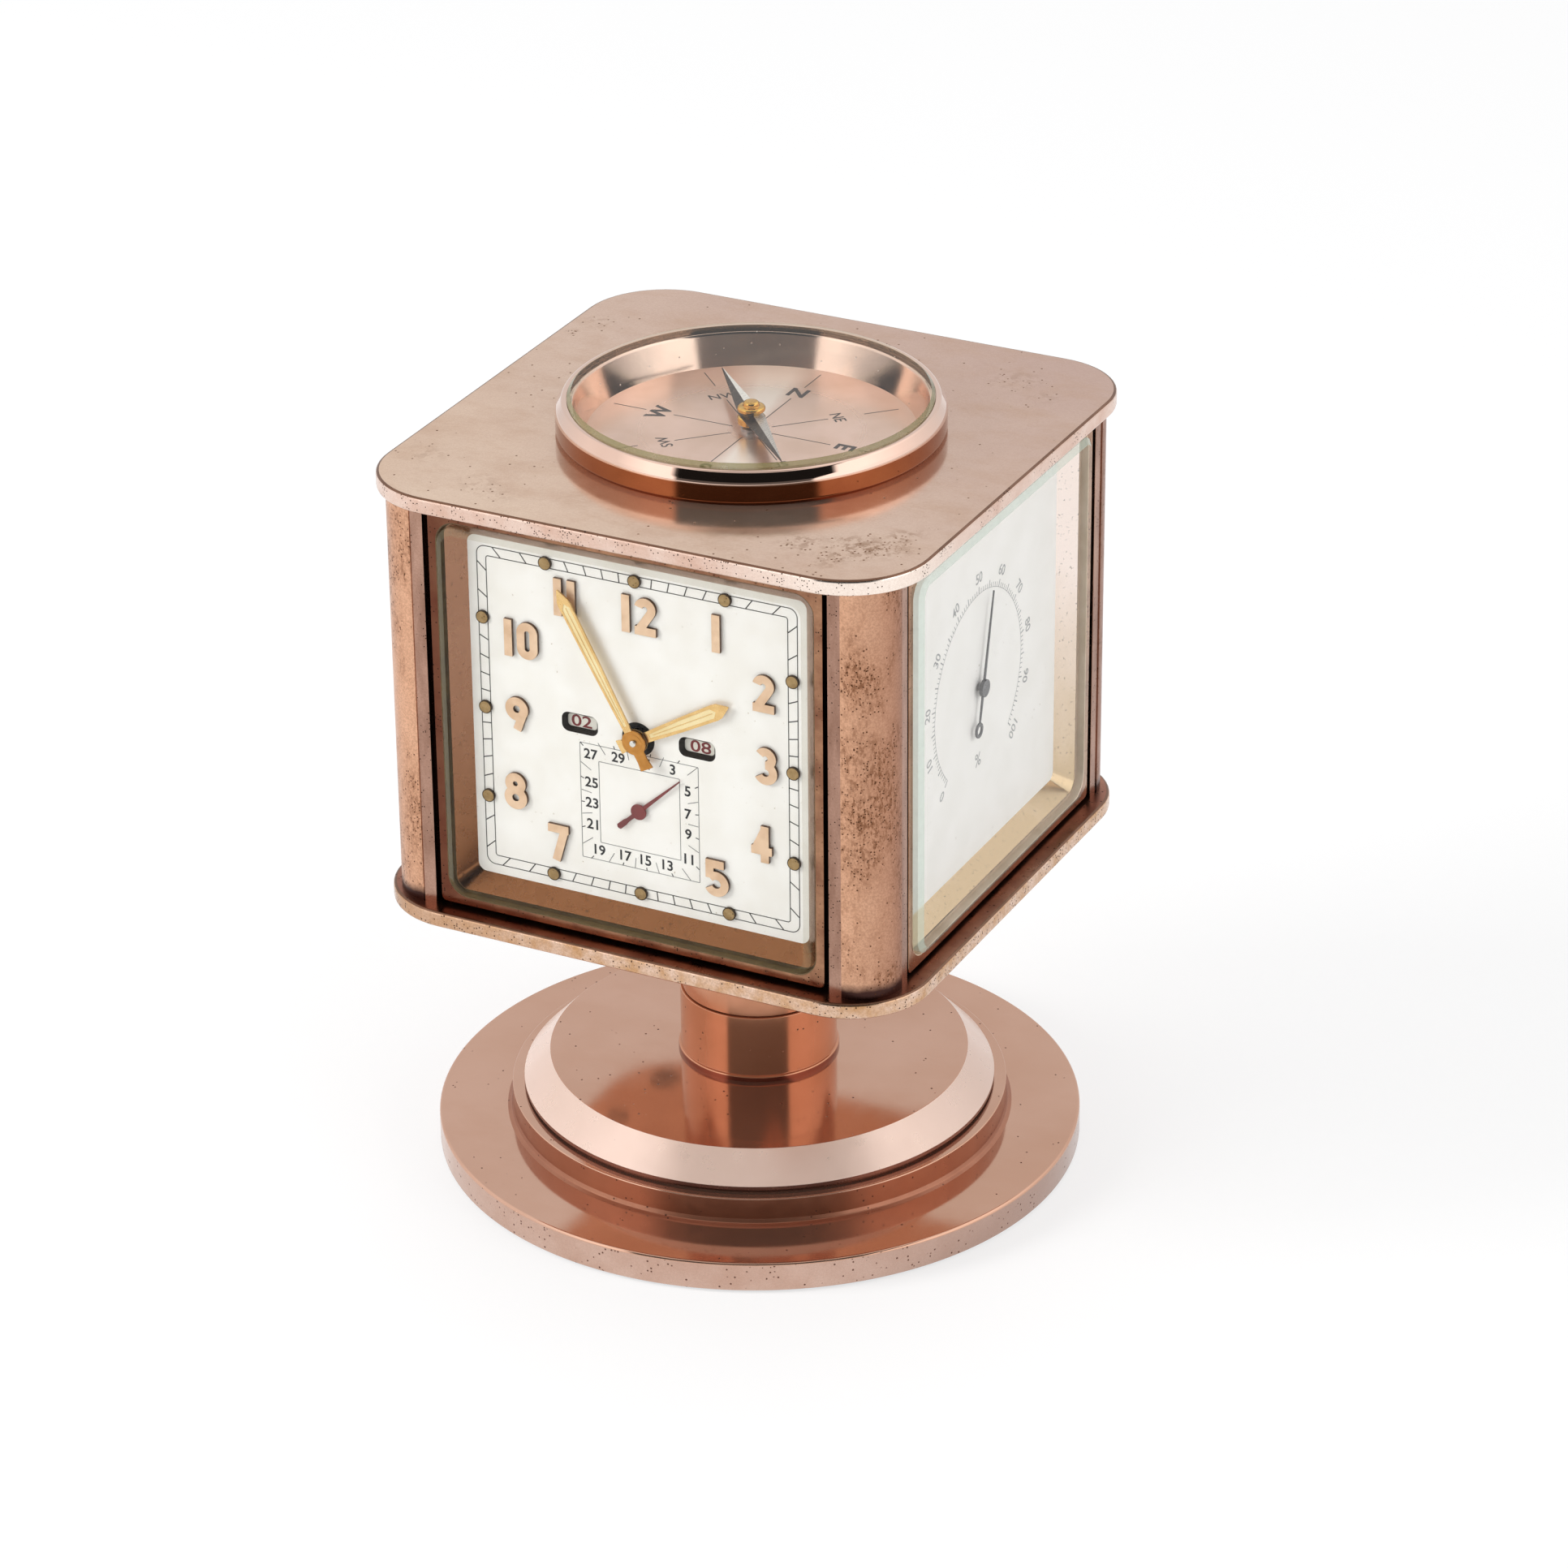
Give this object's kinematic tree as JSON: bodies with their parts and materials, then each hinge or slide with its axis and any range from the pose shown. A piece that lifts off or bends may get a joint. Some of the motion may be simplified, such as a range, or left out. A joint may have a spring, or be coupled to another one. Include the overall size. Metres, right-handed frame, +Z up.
{
  "type": "weather station clock",
  "caption": "Four-sided desk weather station in rose gilt metal, turning on a round base, with a compass on top.",
  "frame": {"origin": "middle of the base where it stands on the table", "axes": "+Z up; the clock face looks toward -Y and the hygrometer toward +X"},
  "size_m": [0.0956, 0.0956, 0.1193],
  "materials": {
    "plate": "satin rose gilt, worn",
    "post": "matt rose gilt, pitted",
    "frame": "satin rose gilt",
    "base_metal": "polished rose gilt",
    "glass": "clear, bevelled",
    "silver_dial": "silvered, printed",
    "white_dial": "matt white, printed",
    "rose_dial": "satin rose gilt, printed",
    "numeral": "polished rose gilt",
    "hand_gilt": "gilt with pale inlay",
    "red": "dark red enamel",
    "steel": "grained steel",
    "brass": "turned brass",
    "felt": "dark felt",
    "disc_white": "white, printed"
  },
  "bodies": {
    "base": {"base_pad": "felt", "base_flange": "base_metal", "base_disc": "base_metal", "neck_tube": "base_metal", "spindle": "steel", "spindle_nut": "steel"},
    "head": {"neck_collar": "base_metal", "bottom_plate": "plate", "top_plate": "plate", "post_back_right": "post", "post_back_left": "post", "post_front_left": "post", "post_front_right": "post", "tie_screws": "steel", "face_screws": "steel", "hygrometer_frame": "frame", "hygrometer_glass": "glass", "hygrometer_dial": "white_dial", "hygrometer_plate": "brass", "barometer_frame": "frame", "barometer_glass": "glass", "barometer_dial": "white_dial", "barometer_plate": "brass", "thermometer_frame": "frame", "thermometer_glass": "glass", "thermometer_dial": "white_dial", "thermometer_plate": "brass", "hygrometer_coil": "brass", "thermometer_coil": "brass", "aneroid_capsule": "steel", "capsule_bracket": "brass", "compass_bezel": "plate", "compass_cone": "plate", "compass_dial": "rose_dial", "compass_pivot": "steel", "compass_glass": "glass"},
    "clock_module": {"clock_frame": "frame", "clock_glass": "glass", "clock_dial": "silver_dial", "movement_front_plate": "brass", "movement_back_plate": "brass", "movement_pillars": "brass", "hour_numerals": "numeral", "hour_dots": "numeral"},
    "minute_train": {"centre_arbor": "steel", "minute_hand": "hand_gilt", "hand_cap": "hand_gilt"},
    "hour_hand_body": {"hour_hand": "hand_gilt"},
    "date_hand_body": {"date_hand": "red"},
    "day_disc_body": {"day_disc": "disc_white"},
    "month_disc_body": {"month_disc": "disc_white"},
    "winding_key_body": {"winding_key": "brass"},
    "barrel_body": {"mainspring_barrel": "brass"},
    "hygrometer_needle_body": {"hygrometer_needle": "steel"},
    "thermometer_needle_body": {"thermometer_needle": "steel"},
    "barometer_needle_body": {"barometer_needle": "steel"},
    "sector_lever_body": {"sector_lever": "brass"},
    "compass_needle_body": {"compass_needle": "steel", "compass_cap": "brass"}
  },
  "joints": [
    {"name": "head_swivel", "type": "hinge", "parent": "base", "child": "head", "pos_m": [0, 0, 0.0247], "axis": [0, 0, 1], "continuous": true},
    {"name": "clock_slide", "type": "slide", "parent": "head", "child": "clock_module", "axis": [0, -1, 0], "range_m": [0, 0.032]},
    {"name": "minute_turn", "type": "hinge", "parent": "clock_module", "child": "minute_train", "pos_m": [0, -0.0355, 0.08045], "axis": [0, 1, 0], "continuous": true},
    {"name": "hour_turn", "type": "hinge", "parent": "clock_module", "child": "hour_hand_body", "pos_m": [0, -0.0355, 0.08045], "axis": [0, 1, 0], "continuous": true},
    {"name": "date_turn", "type": "hinge", "parent": "clock_module", "child": "date_hand_body", "pos_m": [0, -0.0355, 0.06925], "axis": [0, 1, 0], "continuous": true},
    {"name": "day_turn", "type": "hinge", "parent": "clock_module", "child": "day_disc_body", "pos_m": [-0.0162, -0.0338, 0.08085], "axis": [0, 1, 0], "continuous": true},
    {"name": "month_turn", "type": "hinge", "parent": "clock_module", "child": "month_disc_body", "pos_m": [0.0162, -0.0338, 0.08085], "axis": [0, 1, 0], "continuous": true},
    {"name": "key_turn", "type": "hinge", "parent": "clock_module", "child": "winding_key_body", "pos_m": [-0.00855, -0.0246, 0.0719], "axis": [0, 1, 0], "continuous": true},
    {"name": "barrel_turn", "type": "hinge", "parent": "clock_module", "child": "barrel_body", "pos_m": [-0.00855, -0.0246, 0.0719], "axis": [0, 1, 0], "continuous": true},
    {"name": "hygrometer_turn", "type": "hinge", "parent": "head", "child": "hygrometer_needle_body", "pos_m": [0.0355, 0, 0.08045], "axis": [-1, 0, 0], "range_deg": [-148, 122], "stiffness_Nm_per_rad": 0.00005},
    {"name": "thermometer_turn", "type": "hinge", "parent": "head", "child": "thermometer_needle_body", "pos_m": [-0.0355, 0, 0.08045], "axis": [1, 0, 0], "range_deg": [-114, 156], "stiffness_Nm_per_rad": 0.00005},
    {"name": "barometer_turn", "type": "hinge", "parent": "head", "child": "barometer_needle_body", "pos_m": [0, 0.0355, 0.08045], "axis": [0, -1, 0], "range_deg": [-143, 127], "stiffness_Nm_per_rad": 0.00005},
    {"name": "lever_turn", "type": "hinge", "parent": "head", "child": "sector_lever_body", "pos_m": [-0.008, 0.033, 0.08045], "axis": [0, -1, 0], "range_deg": [-24.08, 27.11]},
    {"name": "compass_turn", "type": "hinge", "parent": "head", "child": "compass_needle_body", "pos_m": [0, 0, 0.1133], "axis": [0, 0, 1], "continuous": true}
  ],
  "couplings": [
    {"joint": "hour_turn", "follows": "minute_turn", "ratio": 0.083333},
    {"joint": "barrel_turn", "follows": "minute_turn", "ratio": -0.041667},
    {"joint": "lever_turn", "follows": "barometer_turn", "ratio": -0.18959}
  ]
}
